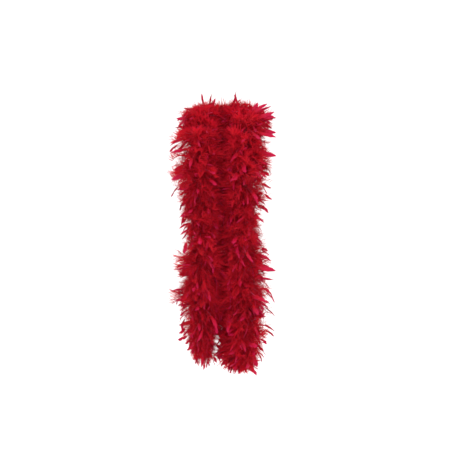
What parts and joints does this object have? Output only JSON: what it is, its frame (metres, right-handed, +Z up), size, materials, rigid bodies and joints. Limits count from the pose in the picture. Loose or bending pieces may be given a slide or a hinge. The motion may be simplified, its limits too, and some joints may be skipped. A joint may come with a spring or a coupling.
{
  "type": "feather boa",
  "caption": "Feather boa worn round the neck: a twisted core cord with tiers of drooping plumes, two tails hanging in front and knotted ends.",
  "frame": {"origin": "middle of the core cord, at the nape of the wearer's neck", "axes": "+Z up, the wearer faces -Y, so the two tails hang side by side at -Y; -X is the left tail as seen from the front"},
  "size_m": [0.3088, 0.3136, 0.859],
  "materials": {
    "plumes": "dyed turkey plumes and down, soft sheen on the vanes",
    "cord": "two-ply twisted cotton cord, matt",
    "thread": "waxed binding thread, slight sheen"
  },
  "bodies": {
    "nape": {"core_nape": "cord", "plumes_nape_left": "plumes", "plumes_nape_right": "plumes", "plumes_neck_left": "plumes", "plumes_neck_right": "plumes"},
    "shoulder_left": {"core_shoulder_left": "cord", "plumes_shoulder_left": "plumes", "plumes_chest_left": "plumes"},
    "tail_left_1": {"core_left_1": "cord", "plumes_left_1": "plumes"},
    "tail_left_2": {"core_left_2": "cord", "plumes_left_2": "plumes"},
    "tail_left_3": {"core_left_3": "cord", "plumes_left_3": "plumes"},
    "tail_left_4": {"core_left_4": "cord", "plumes_left_4": "plumes"},
    "tail_left_5": {"core_left_5": "cord", "plumes_left_5": "plumes", "whipping_left": "thread", "knot_left": "cord"},
    "shoulder_right": {"core_shoulder_right": "cord", "plumes_shoulder_right": "plumes", "plumes_chest_right": "plumes"},
    "tail_right_1": {"core_right_1": "cord", "plumes_right_1": "plumes"},
    "tail_right_2": {"core_right_2": "cord", "plumes_right_2": "plumes"},
    "tail_right_3": {"core_right_3": "cord", "plumes_right_3": "plumes"},
    "tail_right_4": {"core_right_4": "cord", "plumes_right_4": "plumes"},
    "tail_right_5": {"core_right_5": "cord", "plumes_right_5": "plumes", "whipping_right": "thread", "knot_right": "cord"}
  },
  "joints": [
    {"name": "shoulder_left_lift", "type": "hinge", "parent": "nape", "child": "shoulder_left", "pos_m": [-0.069, -0.069, -0.027], "axis": [-1, 0, 0], "range_deg": [0, 25]},
    {"name": "tail_left_1_out", "type": "hinge", "parent": "shoulder_left", "child": "tail_left_1", "pos_m": [-0.069, -0.186, -0.24], "axis": [0, 1, 0], "range_deg": [0, 30]},
    {"name": "tail_left_2_forward", "type": "hinge", "parent": "tail_left_1", "child": "tail_left_2", "pos_m": [-0.069, -0.186, -0.341], "axis": [-1, 0, 0], "range_deg": [0, 30]},
    {"name": "tail_left_3_out", "type": "hinge", "parent": "tail_left_2", "child": "tail_left_3", "pos_m": [-0.069, -0.186, -0.442], "axis": [0, 1, 0], "range_deg": [0, 30]},
    {"name": "tail_left_4_forward", "type": "hinge", "parent": "tail_left_3", "child": "tail_left_4", "pos_m": [-0.069, -0.186, -0.543], "axis": [-1, 0, 0], "range_deg": [0, 30]},
    {"name": "tail_left_5_out", "type": "hinge", "parent": "tail_left_4", "child": "tail_left_5", "pos_m": [-0.069, -0.186, -0.644], "axis": [0, 1, 0], "range_deg": [0, 30]},
    {"name": "shoulder_right_lift", "type": "hinge", "parent": "nape", "child": "shoulder_right", "pos_m": [0.069, -0.069, -0.027], "axis": [-1, 0, 0], "range_deg": [0, 25]},
    {"name": "tail_right_1_out", "type": "hinge", "parent": "shoulder_right", "child": "tail_right_1", "pos_m": [0.069, -0.186, -0.24], "axis": [0, -1, 0], "range_deg": [0, 30]},
    {"name": "tail_right_2_forward", "type": "hinge", "parent": "tail_right_1", "child": "tail_right_2", "pos_m": [0.069, -0.186, -0.349], "axis": [-1, 0, 0], "range_deg": [0, 30]},
    {"name": "tail_right_3_out", "type": "hinge", "parent": "tail_right_2", "child": "tail_right_3", "pos_m": [0.069, -0.186, -0.458], "axis": [0, -1, 0], "range_deg": [0, 30]},
    {"name": "tail_right_4_forward", "type": "hinge", "parent": "tail_right_3", "child": "tail_right_4", "pos_m": [0.069, -0.186, -0.567], "axis": [-1, 0, 0], "range_deg": [0, 30]},
    {"name": "tail_right_5_out", "type": "hinge", "parent": "tail_right_4", "child": "tail_right_5", "pos_m": [0.069, -0.186, -0.676], "axis": [0, -1, 0], "range_deg": [0, 30]}
  ]
}
